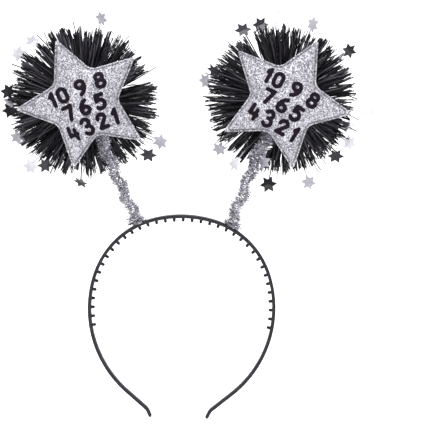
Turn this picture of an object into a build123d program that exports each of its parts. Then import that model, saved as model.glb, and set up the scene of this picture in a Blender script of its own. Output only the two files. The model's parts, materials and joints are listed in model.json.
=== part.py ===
from build123d import *
import os
from math import atan2, cos, pi, radians, sin

# New Year head boppers: a toothed plastic headband with two coil springs, each carrying a padded
# glitter star in front of a pompom of black foil tinsel that has small foil stars on long strips.
#
# Frame: millimetres, +Z up, +X to the right as seen from the front, the front faces -Y.
# The origin is the middle of the crown's inner face, where the band sits on the head.

os.makedirs("parts", exist_ok=True)

# ---- driving dimensions: headband, one strip of tangent arcs down each side ----
BAND_THICK = 2.0
BAND_WIDE_TOP = 8.0
BAND_WIDE_END = 5.4
BAND_EDGE_R = 0.45
CROWN_R, CROWN_TURN = 74.0, 16.0
SIDE_R, SIDE_TURN = 55.5, 57.0
LOWER_R, LOWER_TURN = 74.0, 67.0
LOWER_STRAIGHT = 17.0
TIP_R, TIP_TURN = 5.0, 24.0
TIP_STRAIGHT = 4.0
TAPER_FROM_Z = -30.0
BAND_LOW_Z = -136.0
BAND_HALF_SPAN = 70.0

TEETH_EACH_SIDE = 18
TOOTH_PITCH = 6.12
TOOTH_ROW_SHIFT = -0.8  # the middle tooth stands a little left of the crown's middle
TOOTH_WIDE = 1.6
TOOTH_TALL = 2.5
TOOTH_DEEP = 3.2

ARM_CUT_LENGTH = 45.9  # along the band from its middle, between two teeth on either side

# ---- coil springs, each pushed onto a moulded peg and held by a ring of glue ----
SPRING_FOOT_LENGTH = 31.5  # along the band from its middle
WIRE_D = 0.5
COIL_R = 2.25
COIL_PITCH = 3.0
COIL_LIFT = 0.7
PEG_D, PEG_TALL = 3.9, 6.0
GLUE_R, GLUE_TALL, GLUE_TAPER = 3.95, 2.0, 10.0
GLUE_BORE_R = 2.62
BURIED = 1.5  # how far a peg or a glue ring starts below the band's surface

# ---- silver tinsel wound round each spring: a yarn, and its fringe as a sleeve ----
YARN_D, YARN_R, YARN_PITCH = 0.74, 2.9, 18.0
SLEEVE_IN_R, SLEEVE_OUT_R = 3.3, 4.6
SLEEVE_FOOT = 2.3

# ---- toppers: centre of each star, and its turn anticlockwise as seen from the front ----
TOPPERS = {
    "left": {"side": -1, "centre": (-68.5, 0, 74.3), "turn": 25.4},
    "right": {"side": 1, "centre": (63.7, 0, 79.7), "turn": -27.1},
}

STAR_R, STAR_NOTCH_R = 45.8, 22.6
TIP_FILLET, NOTCH_FILLET = 1.2, 7.0
STAR_BACK = 5.2  # distance of the star's back from the spring's axis
FABRIC = 0.5
SEAM_WIDE = 3.0
FOAM_THICK = 5.0
FOAM_SLOPE = 2.2  # how much narrower the foam is at its front, all round

NUMBER_ROWS = ("10 9 8", "7 6 5", "4 3 2 1")
ROW_WIDE = (40.0, 29.5, 37.0)
ROW_RISE = (9.5, -3.1, -15.7)
DIGIT_TALL, DIGIT_WIDE = 8.6, 5.2
NARROW_ONE = 2.0
DIGIT_GAP = 0.9
STROKE = 2.8
FLOCK = 0.4

HUB_R = 6.0
SOCKET_R = 2.9
SOCKET_STOP = 2.4

CORE_WIRE_D = 0.6
CORE_TWIST_R = 0.32
CORE_PITCH = 3.2
CORE_FRONT_Y, CORE_BACK_Y = 1.6, 24.0

FRINGE_R, FRINGE_MID_R = 49.0, 12.0
FRINGE_FRONT_Y, FRINGE_BACK_Y = 5.6, 21.6
RIM_FRONT_Y, RIM_BACK_Y = 10.6, 15.6
CORE_BORE_R = 0.66

SEQUIN_R, SEQUIN_WAIST_R = 5.4, 3.1
SEQUIN_THICK = 0.2
SEQUIN_LAYER_Y = {"black": 12.2, "silver": 14.0}
STRIP_WIDE = 1.0
STRIP_ROOT_R = 3.4
# direction of each foil star from the topper's centre, degrees from +X, and its distance
SEQUINS = {
    "left": {
        "black": [(174, 53.5), (188, 50.5), (239, 50), (268, 52.5), (322, 54.5)],
        "silver": [(81, 56), (133, 53.5), (146, 55.5), (181, 51), (209, 53), (231, 57), (334, 56)],
    },
    "right": {
        "black": [(123, 56), (110, 54), (39, 54.5), (158, 53), (315, 51), (261.5, 55), (200, 54)],
        "silver": [(98, 59), (73, 55.5), (357, 56), (171, 56), (342, 50), (329, 55), (289, 55),
                   (251, 43), (233, 52.5), (217, 54)],
    },
}

# Strokes of each numeral in a box 1 wide and 1 tall: two points are a line, three are an arc.
NUMERALS = {
    "0": [[(0, 0.27), (0, 0.73)], [(0, 0.73), (0.5, 1), (1, 0.73)], [(1, 0.73), (1, 0.27)],
          [(1, 0.27), (0.5, 0), (0, 0.27)]],
    "1": [[(0, 0.75), (0.8, 1)], [(0.8, 1), (0.8, 0)]],
    "2": [[(0, 0.72), (0.45, 1), (1, 0.72)], [(1, 0.72), (0, 0)], [(0, 0), (1, 0)]],
    "3": [[(0.05, 0.93), (0.93, 0.8), (0.4, 0.52)], [(0.4, 0.52), (0.98, 0.25), (0, 0.08)]],
    "4": [[(0.15, 1), (0, 0.36)], [(0, 0.36), (1, 0.36)], [(0.8, 0.72), (0.8, 0)]],
    "5": [[(0.95, 1), (0.12, 1)], [(0.12, 1), (0.06, 0.56)], [(0.06, 0.56), (0.98, 0.3), (0, 0.07)]],
    "6": [[(0.8, 1), (0.16, 0.68), (0, 0.26)], [(0, 0.26), (0.5, 0.53), (1, 0.26)],
          [(1, 0.26), (0.5, 0), (0, 0.26)]],
    "7": [[(0, 1), (1, 1)], [(1, 1), (0.35, 0)]],
    "8": [[(0.5, 0.53), (0.06, 0.77), (0.5, 1)], [(0.5, 1), (0.94, 0.77), (0.5, 0.53)],
          [(0.5, 0.53), (0, 0.26), (0.5, 0)], [(0.5, 0), (1, 0.26), (0.5, 0.53)]],
    "9": [[(0.2, 0), (0.84, 0.32), (1, 0.74)], [(1, 0.74), (0.5, 0.47), (0, 0.74)],
          [(0, 0.74), (0.5, 1), (1, 0.74)]],
}


# ---- headband ----

with BuildLine() as side_line:
    crown_arc = JernArc((0, BAND_THICK / 2), (1, 0), CROWN_R, -CROWN_TURN)
    side_arc = JernArc(crown_arc @ 1, crown_arc % 1, SIDE_R, -SIDE_TURN)
    lower_arc = JernArc(side_arc @ 1, side_arc % 1, LOWER_R, -LOWER_TURN)
    lower_run = Line(lower_arc @ 1, lower_arc @ 1 + lower_arc % 1 * LOWER_STRAIGHT)
    tip_arc = JernArc(lower_run @ 1, lower_run % 1, TIP_R, TIP_TURN)
    tip_run = Line(tip_arc @ 1, tip_arc @ 1 + tip_arc % 1 * TIP_STRAIGHT)
half_band = side_line.wire()


def band_spot(length):
    """Centre of the band and its direction, at a length from its middle, in the front view."""
    spot = half_band.position_at(length, PositionMode.LENGTH)
    heading = half_band.tangent_at(length, PositionMode.LENGTH)
    return spot, heading


def cut_plane(side):
    """Plane square across the band where an arm begins, facing down the arm."""
    spot, heading = band_spot(ARM_CUT_LENGTH)
    return Plane(origin=(side * spot.X, 0, spot.Y), z_dir=(side * heading.X, 0, heading.Y))


with BuildPart() as strip:
    with BuildSketch(Plane.XZ) as strip_outline:
        with BuildLine():
            add(side_line.line)
            offset(amount=BAND_THICK / 2)
        make_face()
        mirror(about=Plane.YZ)
    extrude(amount=BAND_WIDE_TOP / 2, both=True)
    with BuildSketch(Plane.YZ) as taper_outline:
        with BuildLine():
            Polyline(
                (BAND_WIDE_TOP / 2, BAND_THICK + 1),
                (BAND_WIDE_TOP / 2, TAPER_FROM_Z),
                (BAND_WIDE_END / 2, BAND_LOW_Z),
                (-BAND_WIDE_END / 2, BAND_LOW_Z),
                (-BAND_WIDE_TOP / 2, TAPER_FROM_Z),
                (-BAND_WIDE_TOP / 2, BAND_THICK + 1),
                close=True,
            )
        make_face()
    extrude(amount=BAND_HALF_SPAN, both=True, mode=Mode.INTERSECT)
    long_edges = [edge for edge in strip.edges() if abs((edge % 0.5).Y) < 0.1 and abs((edge @ 0.5).Y) > 2]
    fillet(long_edges, BAND_EDGE_R)
    with BuildSketch(Plane.XZ) as teeth_outline:
        for number in range(-TEETH_EACH_SIDE, TEETH_EACH_SIDE + 1):
            along = number * TOOTH_PITCH + TOOTH_ROW_SHIFT
            spot, heading = band_spot(abs(along))
            side = -1 if along < 0 else 1
            inward = Vector(side * heading.Y, -heading.X)
            root = Vector(side * spot.X, spot.Y)
            tip = root + inward * (BAND_THICK / 2 + TOOTH_TALL - TOOTH_WIDE / 2)
            SlotCenterPoint((root + tip) * 0.5, tip, TOOTH_WIDE)
    extrude(amount=TOOTH_DEEP / 2, both=True)


def spring_plane(side, centre):
    """Plane across a spring at its foot on the band's outer face, facing up the spring."""
    spot, heading = band_spot(SPRING_FOOT_LENGTH)
    outer = spot + Vector(-heading.Y, heading.X) * (BAND_THICK / 2)
    foot = Vector(side * outer.X, 0, outer.Y)
    return Plane(origin=foot, x_dir=(0, 1, 0), z_dir=Vector(centre) - foot)


with BuildPart() as headband_crown:
    add(strip.part)
    for side in (-1, 1):
        split(bisect_by=cut_plane(side), keep=Keep.BOTTOM)
    for topper in TOPPERS.values():
        peg_plane = spring_plane(topper["side"], topper["centre"])
        with BuildSketch(peg_plane.offset(-BURIED)):
            Circle(PEG_D / 2)
        extrude(amount=BURIED + PEG_TALL)
headband_crown.part.label = "headband_crown"
export_step(headband_crown.part, "parts/headband_crown.step")


# ---- the same pieces for each side ----

def star_outline(inset):
    """Five-pointed star with rounded tips and notches, a given distance inside the cut edge."""
    notch_turn = pi / 5
    tip_half = atan2(STAR_NOTCH_R * sin(notch_turn), STAR_R - STAR_NOTCH_R * cos(notch_turn))
    tip_r = STAR_R - inset / sin(tip_half)
    notch_r = STAR_NOTCH_R - inset / sin(tip_half + notch_turn)
    points = []
    for number in range(10):
        reach = tip_r if number % 2 == 0 else notch_r
        turn = pi / 2 + number * notch_turn
        points.append((reach * cos(turn), reach * sin(turn)))
    with BuildSketch() as outline:
        with BuildLine():
            Polyline(*points, close=True)
        make_face()
        notches = outline.vertices().sort_by_distance((0, 0))[:5]
        tips = outline.vertices().sort_by_distance((0, 0))[5:]
        fillet(notches, NOTCH_FILLET + inset)
        fillet(tips, TIP_FILLET)
    return outline.sketch


def star_pad(plane, low, high, margin):
    """Padded star between two heights above a plane, narrower at its front by FOAM_SLOPE."""
    with BuildPart() as pad:
        with BuildSketch(plane.offset(low)):
            add(star_outline(margin))
        with BuildSketch(plane.offset(high)):
            add(star_outline(margin + FOAM_SLOPE))
        loft(ruled=True)
    return pad.part


def numeral_face(numeral, left, base):
    """One stroked numeral, with the lower left corner of its centre lines at left, base."""
    wide = NARROW_ONE if numeral == "1" else DIGIT_WIDE
    with BuildSketch() as face:
        for stroke in NUMERALS[numeral]:
            spots = [Vector(left + u * wide, base + v * DIGIT_TALL) for u, v in stroke]
            if len(spots) == 2:
                SlotCenterPoint((spots[0] + spots[1]) * 0.5, spots[1], STROKE)
            else:
                SlotArc(ThreePointArc(*spots), STROKE)
    return face.sketch


def numerals_sketch():
    """Three centred rows of numerals, each spread to its own width."""
    with BuildSketch() as rows:
        for text, row_wide, rise in zip(NUMBER_ROWS, ROW_WIDE, ROW_RISE):
            wides = [NARROW_ONE if letter == "1" else DIGIT_WIDE for letter in text.replace(" ", "")]
            solid = sum(wides) + STROKE * len(wides)
            joined = len(text.split("10")) - 1
            space = (row_wide - solid - joined * DIGIT_GAP) / text.count(" ")
            left = -row_wide / 2 + STROKE / 2
            for place, letter in enumerate(text):
                if letter == " ":
                    left += space - DIGIT_GAP
                    continue
                add(numeral_face(letter, left, rise - DIGIT_TALL / 2))
                left += (NARROW_ONE if letter == "1" else DIGIT_WIDE) + STROKE + DIGIT_GAP
    return rows.sketch


def foil_star_points():
    """Corners of a six-pointed foil star about its own middle."""
    points = []
    for number in range(12):
        point_r = SEQUIN_R if number % 2 == 0 else SEQUIN_WAIST_R
        points.append((point_r * cos(number * pi / 6), point_r * sin(number * pi / 6)))
    return points


def helix_solid(plane, start, end, radius, pitch, wire_d):
    """Round wire wound about a plane's normal, between two heights above the plane."""
    foot = plane.origin + plane.z_dir * start
    with BuildPart() as wound:
        with BuildLine():
            coil = Helix(pitch, end - start, radius, center=foot, direction=plane.z_dir)
        with BuildSketch(Plane(origin=coil @ 0, z_dir=coil % 0)):
            Circle(wire_d / 2)
        sweep(path=coil, is_frenet=True)
    return wound.part


for name, topper in TOPPERS.items():
    side = topper["side"]
    centre = Vector(topper["centre"])
    spring_base = spring_plane(side, centre)
    spring_length = (centre - spring_base.origin).length
    turn = radians(topper["turn"])
    front = Plane(origin=centre, x_dir=(cos(turn), 0, sin(turn)), z_dir=(0, -1, 0))
    back = Plane(origin=centre, x_dir=(1, 0, 0), z_dir=(0, 1, 0))

    with BuildPart() as headband_arm:
        add(strip.part)
        split(bisect_by=Plane.YZ, keep=Keep.TOP if side > 0 else Keep.BOTTOM)
        split(bisect_by=cut_plane(side), keep=Keep.TOP)
    headband_arm.part.label = f"headband_{name}_arm"
    export_step(headband_arm.part, f"parts/headband_{name}_arm.step")

    # The glue ring is shaped to the band and leaves the foot of the spring clear.
    with BuildPart() as base_glue:
        with BuildSketch(spring_base.offset(-BURIED)):
            Circle(GLUE_R)
        extrude(amount=BURIED + GLUE_TALL, taper=GLUE_TAPER)
        with BuildSketch(spring_base.offset(-BURIED)):
            Circle(GLUE_BORE_R)
        extrude(amount=BURIED + GLUE_TALL, mode=Mode.SUBTRACT)
        add(strip.part, mode=Mode.SUBTRACT)
    base_glue.part.label = f"{name}_base_glue"
    export_step(base_glue.part, f"parts/{name}_base_glue.step")

    spring_end = spring_length - SOCKET_STOP - WIRE_D
    with BuildPart() as spring:
        add(helix_solid(spring_base, COIL_LIFT, spring_end, COIL_R, COIL_PITCH, WIRE_D))
    spring.part.label = f"{name}_spring"
    export_step(spring.part, f"parts/{name}_spring.step")

    sleeve_end = spring_length - HUB_R - FABRIC
    with BuildPart() as tinsel_yarn:
        add(helix_solid(spring_base, SLEEVE_FOOT + YARN_D, sleeve_end - YARN_D, YARN_R, YARN_PITCH, YARN_D))
    tinsel_yarn.part.label = f"{name}_tinsel_yarn"
    export_step(tinsel_yarn.part, f"parts/{name}_tinsel_yarn.step")

    with BuildPart() as tinsel_sleeve:
        with BuildSketch(spring_base.offset(SLEEVE_FOOT)):
            Circle(SLEEVE_OUT_R)
            Circle(SLEEVE_IN_R, mode=Mode.SUBTRACT)
        extrude(amount=sleeve_end - SLEEVE_FOOT)
    tinsel_sleeve.part.label = f"{name}_tinsel_sleeve"
    export_step(tinsel_sleeve.part, f"parts/{name}_tinsel_sleeve.step")

    # The hub blob holds the spring's end, the star's back and the twisted core of the pompom.
    with BuildPart() as hub_glue:
        with BuildSketch(front.offset(-FRINGE_FRONT_Y)):
            Circle(HUB_R)
        extrude(amount=FRINGE_FRONT_Y + STAR_BACK)
        with BuildSketch(spring_base.offset(spring_length - HUB_R - 1)):
            Circle(SOCKET_R)
        extrude(amount=HUB_R + 1 - SOCKET_STOP, mode=Mode.SUBTRACT)
        with BuildSketch(back.offset(CORE_FRONT_Y)):
            Circle(CORE_BORE_R)
        extrude(amount=FRINGE_FRONT_Y - CORE_FRONT_Y, mode=Mode.SUBTRACT)
    hub_glue.part.label = f"{name}_hub_glue"
    export_step(hub_glue.part, f"parts/{name}_hub_glue.step")

    core_start = CORE_FRONT_Y + CORE_WIRE_D / 2
    core_wire = helix_solid(back, core_start, CORE_BACK_Y, CORE_TWIST_R, CORE_PITCH, CORE_WIRE_D)
    with BuildPart() as garland_core:
        add(core_wire)
        add(core_wire.rotate(Axis(centre, (0, 1, 0)), 180))
    garland_core.part.label = f"{name}_garland_core"
    export_step(garland_core.part, f"parts/{name}_garland_core.step")

    foil_stars = []
    for colour, places in SEQUINS[name].items():
        with BuildPart() as sequins:
            middle = centre + (0, SEQUIN_LAYER_Y[colour], 0)
            with BuildSketch(Plane(origin=middle, x_dir=(1, 0, 0), z_dir=(0, -1, 0))):
                for direction, reach in places:
                    with PolarLocations(reach, 1, start_angle=direction):
                        Polygon(*foil_star_points(), align=None)
                    with PolarLocations((STRIP_ROOT_R + reach) / 2, 1, start_angle=direction):
                        Rectangle(reach - STRIP_ROOT_R, STRIP_WIDE)
            extrude(amount=SEQUIN_THICK)
        sequins.part.label = f"{name}_sequins_{colour}"
        export_step(sequins.part, f"parts/{name}_sequins_{colour}.step")
        foil_stars.append(sequins.part)

    # The tinsel pompom is a lens of packed foil, with slits where the strips of foil stars pass.
    with BuildPart() as garland_fringe:
        with BuildSketch(Plane(origin=centre, x_dir=(1, 0, 0), z_dir=(0, 0, 1))):
            with BuildLine():
                Polyline(
                    (CORE_BORE_R, FRINGE_FRONT_Y),
                    (FRINGE_MID_R, FRINGE_FRONT_Y),
                    (FRINGE_R, RIM_FRONT_Y),
                    (FRINGE_R, RIM_BACK_Y),
                    (FRINGE_MID_R, FRINGE_BACK_Y),
                    (CORE_BORE_R, FRINGE_BACK_Y),
                    close=True,
                )
            make_face()
        revolve(axis=Axis(centre, (0, 1, 0)))
        for foil_star in foil_stars:
            add(foil_star, mode=Mode.SUBTRACT)
    garland_fringe.part.label = f"{name}_garland_fringe"
    export_step(garland_fringe.part, f"parts/{name}_garland_fringe.step")

    with BuildPart() as star_back:
        with BuildSketch(front.offset(STAR_BACK)):
            add(star_outline(0))
        extrude(amount=FABRIC)
    star_back.part.label = f"{name}_star_back"
    export_step(star_back.part, f"parts/{name}_star_back.step")

    pad_low = STAR_BACK + FABRIC
    pad_high = pad_low + FOAM_THICK
    with BuildPart() as star_foam:
        add(star_pad(front, pad_low, pad_high, SEAM_WIDE))
    star_foam.part.label = f"{name}_star_foam"
    export_step(star_foam.part, f"parts/{name}_star_foam.step")

    # The front cover is sealed to the back round the seam and lies over the foam.
    cover_outside = star_pad(front, pad_low, pad_high + FABRIC, SEAM_WIDE - FABRIC)
    with BuildPart() as star_front:
        with BuildSketch(front.offset(pad_low)):
            add(star_outline(0))
        extrude(amount=FABRIC)
        add(cover_outside)
        add(star_foam.part, mode=Mode.SUBTRACT)
    star_front.part.label = f"{name}_star_front"
    export_step(star_front.part, f"parts/{name}_star_front.step")

    # The flocked numerals follow the cover down its sloping edges.
    with BuildPart() as numerals:
        add(star_pad(front, pad_low, pad_high + FABRIC + FLOCK, SEAM_WIDE - FABRIC - FLOCK))
        with BuildSketch(front.offset(pad_low)):
            add(numerals_sketch())
        extrude(amount=FOAM_THICK * 2, mode=Mode.INTERSECT)
        add(cover_outside, mode=Mode.SUBTRACT)
    numerals.part.label = f"{name}_star_numerals"
    export_step(numerals.part, f"parts/{name}_star_numerals.step")
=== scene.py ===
import json
from math import atan2, cos, pi, radians, sin, sqrt, tan

import bpy
import numpy as np
from mathutils import Matrix, Vector
from mathutils.bvhtree import BVHTree


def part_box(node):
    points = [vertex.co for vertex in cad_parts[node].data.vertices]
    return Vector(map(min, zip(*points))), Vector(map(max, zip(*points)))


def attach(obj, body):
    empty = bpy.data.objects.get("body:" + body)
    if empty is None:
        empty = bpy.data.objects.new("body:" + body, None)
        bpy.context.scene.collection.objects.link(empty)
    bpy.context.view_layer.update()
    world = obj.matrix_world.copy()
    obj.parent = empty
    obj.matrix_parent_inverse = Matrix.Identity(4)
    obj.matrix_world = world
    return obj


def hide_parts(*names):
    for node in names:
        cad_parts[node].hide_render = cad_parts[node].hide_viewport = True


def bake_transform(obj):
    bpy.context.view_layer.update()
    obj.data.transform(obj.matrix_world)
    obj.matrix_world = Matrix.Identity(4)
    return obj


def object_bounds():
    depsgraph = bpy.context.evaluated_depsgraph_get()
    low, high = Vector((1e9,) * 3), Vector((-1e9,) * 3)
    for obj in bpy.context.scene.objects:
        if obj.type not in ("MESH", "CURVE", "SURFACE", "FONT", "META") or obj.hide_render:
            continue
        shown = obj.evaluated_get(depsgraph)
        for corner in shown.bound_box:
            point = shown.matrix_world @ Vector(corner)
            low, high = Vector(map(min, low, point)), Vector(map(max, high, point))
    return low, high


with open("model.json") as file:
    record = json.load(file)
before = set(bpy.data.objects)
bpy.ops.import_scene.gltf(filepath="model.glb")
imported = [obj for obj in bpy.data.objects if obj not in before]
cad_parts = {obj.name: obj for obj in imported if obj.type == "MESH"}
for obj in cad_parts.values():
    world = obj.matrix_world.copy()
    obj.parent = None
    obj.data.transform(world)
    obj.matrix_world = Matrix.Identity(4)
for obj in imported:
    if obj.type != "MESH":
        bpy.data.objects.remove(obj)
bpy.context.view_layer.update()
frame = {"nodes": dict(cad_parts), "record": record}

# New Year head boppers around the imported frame. Lengths are metres unless a name ends in _MM.
MM = 0.001
SIDES = {"left": -1, "right": 1}
RNG = np.random.default_rng(2027)

# ---- the headband's line, the same arcs as the moulding ----
BAND_MIDDLE_Z = 1.0 * MM
BAND_HALF_THICK = 1.12 * MM
BAND_HALF_WIDE = (4.0 * MM, 2.7 * MM)
BAND_CORNER_R = 0.5 * MM
TAPER_Z = (-30.0 * MM, -136.0 * MM)
BAND_ARCS = ((74.0 * MM, 16.0), (55.5 * MM, 57.0), (74.0 * MM, 67.0))
BAND_STRAIGHT = 17.0 * MM
TIP_ARC = (5.0 * MM, -24.0)
TIP_STRAIGHT = 5.0 * MM
STATION = 0.8 * MM
TEETH_EACH_SIDE = 18
TOOTH_PITCH = 6.12 * MM
TOOTH_ROW_SHIFT = -0.8 * MM
TOOTH_TALL = 2.5 * MM
TOOTH_HALF_WIDE = 1.0 * MM
TOOTH_HALF_DEEP = 1.6 * MM

# ---- star, in its own plane: x right, y up, z towards the viewer, turned with the topper ----
STAR_TURN = {"left": 25.4, "right": -27.1}
STAR_R, NOTCH_R = 45.8, 22.6
TIP_FILLET, NOTCH_FILLET = 1.2, 7.0
# points round each of its corners, and along each side with both ends
ARC_POINTS, RUN_POINTS = 7, 14
SEAM_INSET = 1.6
RIM_THICK = 0.5
# how far the hand-cut tips stand off a regular star: direction in the front view, then x and z
TIP_SHIFTS = {"left": [(258, 2.9, 1.0), (330, -0.7, -2.0)], "right": [(205, 0.8, -1.1)]}
TIP_SHIFT_FROM = 14.0
SIM_SCALE, SIM_FRAMES = 8.0, 20
PAD_START = 3.0
PAD_SWELL = 3.6

NUMBER_ROWS = ("10 9 8", "7 6 5", "4 3 2 1")
ROW_WIDE = (40.0, 29.5, 37.0)
ROW_RISE = (9.5, -3.1, -15.7)
DIGIT_TALL, DIGIT_WIDE, NARROW_ONE = 8.6, 5.2, 2.0
DIGIT_GAP = 0.9
STROKE = 2.8
FLOCK = 0.42
NUMERALS = {
    "0": [[(0, 0.27), (0, 0.73)], [(0, 0.73), (0.5, 1), (1, 0.73)], [(1, 0.73), (1, 0.27)],
          [(1, 0.27), (0.5, 0), (0, 0.27)]],
    "1": [[(0, 0.75), (0.8, 1)], [(0.8, 1), (0.8, 0)]],
    "2": [[(0, 0.72), (0.45, 1), (1, 0.72)], [(1, 0.72), (0, 0)], [(0, 0), (1, 0)]],
    "3": [[(0.05, 0.93), (0.93, 0.8), (0.4, 0.52)], [(0.4, 0.52), (0.98, 0.25), (0, 0.08)]],
    "4": [[(0.15, 1), (0, 0.36)], [(0, 0.36), (1, 0.36)], [(0.8, 0.72), (0.8, 0)]],
    "5": [[(0.95, 1), (0.12, 1)], [(0.12, 1), (0.06, 0.56)], [(0.06, 0.56), (0.98, 0.3), (0, 0.07)]],
    "6": [[(0.8, 1), (0.16, 0.68), (0, 0.26)], [(0, 0.26), (0.5, 0.53), (1, 0.26)],
          [(1, 0.26), (0.5, 0), (0, 0.26)]],
    "7": [[(0, 1), (1, 1)], [(1, 1), (0.35, 0)]],
    "8": [[(0.5, 0.53), (0.06, 0.77), (0.5, 1)], [(0.5, 1), (0.94, 0.77), (0.5, 0.53)],
          [(0.5, 0.53), (0, 0.26), (0.5, 0)], [(0.5, 0), (1, 0.26), (0.5, 0.53)]],
    "9": [[(0.2, 0), (0.84, 0.32), (1, 0.74)], [(1, 0.74), (0.5, 0.47), (0, 0.74)],
          [(0, 0.74), (0.5, 1), (1, 0.74)]],
}

# ---- pompom: directions in degrees from +X as seen from the front ----
FRINGE_R_MM = 50.1
FRINGE_FRONT_MM = 6.3
# how much shorter the front and back strips are than the middle ones
FRINGE_ROUND_MM = 8.0
# how far back the strips behind a spring are held at their ends, so that the topper can lean back
SPRING_ROOM_MM, SPRING_ROOM_TURN = 11.0, 9.0
FRINGE_SHIFT_MM = {"left": (-1.4, 0.0), "right": (-2.0, 0.0)}
FRINGE_REACH_MAX_MM = 51.5
STRAY_SHARE, STRAY_REACH_MM = 0.012, (50, 55)
# depths behind the spring's axis: of the twisted wires that hold the strips, and of the rim
CORE_DEPTH_MM, CORE_MIDDLE_MM, CORE_HALF_MM = (6.4, 20.8), 13.6, 7.2
RIM_MIDDLE_MM, RIM_SPREAD = 13.0, 0.78
STRIPS = 2100
CLUMP_PITCH, CLUMP_PULL = 4.5, 0.28
GAPS = {
    "left": [(23, 4), (-14, 2), (283, 1.5), (300, 2), (252, 1)],
    "right": [(118, 4), (4, 1.5), (184, 1.5), (222, 2), (17, 2)],
}
# each foil star: direction, distance, depth behind the spring's axis, tilts, in degrees and mm
SEQUINS = {
    "left": {
        "black": [(174, 52, 12, 20, 10), (188, 50.5, 10, -15, 15), (239, 50, 11, 10, -20),
                  (268, 53.5, 12, 52, 20), (322, 54.5, 9, 20, 25)],
        "silver": [(81, 56.5, 14, 30, 40), (133, 53.5, 13, 10, 20), (146, 55.5, 16, -20, 10),
                   (181, 50, 13, 15, 35), (209, 51.5, 14, -25, 20), (231, 56.5, 12, 15, 10),
                   (334, 56.5, 13, -10, 25)],
    },
    "right": {
        "black": [(122, 54, 12, 30, 15), (109, 52.5, 13, 15, -10), (39, 54.5, 11, 10, 12),
                  (159, 50.5, 10, -20, 45), (315, 51, 14, 25, 20), (261.5, 57, 10, -10, 10)],
        "silver": [(98, 58, 15, 20, 10), (71, 54, 13, 15, 40), (354, 57, 14, 35, 30),
                   (168, 54, 16, -30, 25), (340, 46, 15, 20, 30), (329, 52, 12, 25, -20),
                   (289, 57.5, 13, -10, 15), (253, 43, 3.5, 5, 10), (234, 53.5, 9, 30, 35),
                   (219, 54, 14, -25, 15)],
    },
}
SEQUIN_R, SEQUIN_WAIST_R = 6.0, 3.3


# ---- places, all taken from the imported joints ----

def joint_place(name):
    """Pivot of a joint in the frame."""
    for joint in frame["record"]["behaviour"]["joints"]:
        if joint["name"] == name:
            return Vector(joint["pos_m"])
    raise ValueError(name)


def spring_line(side_name):
    """Foot of a spring and the topper's centre: the two hinges stand a third and two thirds along."""
    lower, upper = joint_place(f"{side_name}_sway"), joint_place(f"{side_name}_nod")
    third = upper - lower
    return lower - third, upper + third


# ---- mesh helpers ----

def make_object(name, verts, faces, material, tone=None, smooth=False):
    """Mesh object in the frame, with an optional value for each vertex that materials read as tone."""
    mesh = bpy.data.meshes.new(name)
    mesh.from_pydata(np.asarray(verts).tolist(), [], [list(face) for face in faces])
    mesh.update()
    if smooth:
        mesh.shade_smooth()
    if tone is not None:
        values = mesh.attributes.new("tone", "FLOAT", "POINT")
        values.data.foreach_set("value", np.asarray(tone, np.float32))
    mesh.materials.append(material)
    obj = bpy.data.objects.new(name, mesh)
    bpy.context.scene.collection.objects.link(obj)
    return obj


def unit(vectors):
    """Vectors scaled to length one along the last axis."""
    return vectors / np.maximum(np.linalg.norm(vectors, axis=-1, keepdims=True), 1e-12)


def ribbon_mesh(centre, across, half_width, thick):
    """Closed thin strips along centre lines of shape (strips, stations, 3)."""
    count, stations = centre.shape[:2]
    along = unit(np.gradient(centre, axis=1))
    across = unit(across - along * np.sum(across * along, axis=-1, keepdims=True))
    lift = np.cross(along, across) * (thick / 2)
    reach = across * half_width[..., None]
    corners = np.stack(
        [centre - reach - lift, centre + reach - lift, centre + reach + lift, centre - reach + lift], axis=2
    )
    first = (np.arange(count)[:, None] * stations + np.arange(stations - 1)[None, :]) * 4
    quads = []
    for near in range(4):
        far = (near + 1) % 4
        corner = [first + near, first + far, first + far + 4, first + near + 4]
        quads.append(np.stack(corner, -1).reshape(-1, 4))
    start = np.arange(count) * stations * 4
    end = start + (stations - 1) * 4
    quads.append(np.stack([start + 3, start + 2, start + 1, start], -1))
    quads.append(np.stack([end, end + 1, end + 2, end + 3], -1))
    return corners.reshape(-1, 3), np.concatenate(quads)


def tube_mesh(path, radii, sides=8):
    """Closed round tube along a path, with its radius at each point."""
    path = np.asarray(path, float)
    radii = np.broadcast_to(radii, len(path))
    along = unit(np.gradient(path, axis=0))
    normal = np.zeros_like(along)
    guide = np.array([0.0, 0.0, 1.0])
    for number, direction in enumerate(along):
        flat = guide - direction * guide.dot(direction)
        if np.linalg.norm(flat) < 1e-6:
            flat = np.cross(direction, (1, 0.3, 0.2))
        normal[number] = flat / np.linalg.norm(flat)
        guide = normal[number]
    binormal = np.cross(along, normal)
    turns = np.arange(sides) * 2 * pi / sides
    rings = (
        path[:, None, :]
        + normal[:, None, :] * np.cos(turns)[None, :, None] * radii[:, None, None]
        + binormal[:, None, :] * np.sin(turns)[None, :, None] * radii[:, None, None]
    )
    faces = grid_faces(len(path), sides)
    last = (len(path) - 1) * sides
    faces += [list(range(sides))[::-1], list(range(last, last + sides))]
    return rings.reshape(-1, 3), faces


def grid_faces(rings, sides):
    """Quads between rings of equal size, each ring closed."""
    faces = []
    for ring in range(rings - 1):
        for place in range(sides):
            after = (place + 1) % sides
            faces.append([ring * sides + place, ring * sides + after,
                          (ring + 1) * sides + after, (ring + 1) * sides + place])
    return faces


def join_meshes(parts):
    """Several (verts, faces) as one."""
    verts, faces, base = [], [], 0
    for part_verts, part_faces in parts:
        verts.append(np.asarray(part_verts))
        faces += [[index + base for index in face] for face in part_faces]
        base += len(part_verts)
    return np.concatenate(verts), faces


# ---- materials ----

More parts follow.
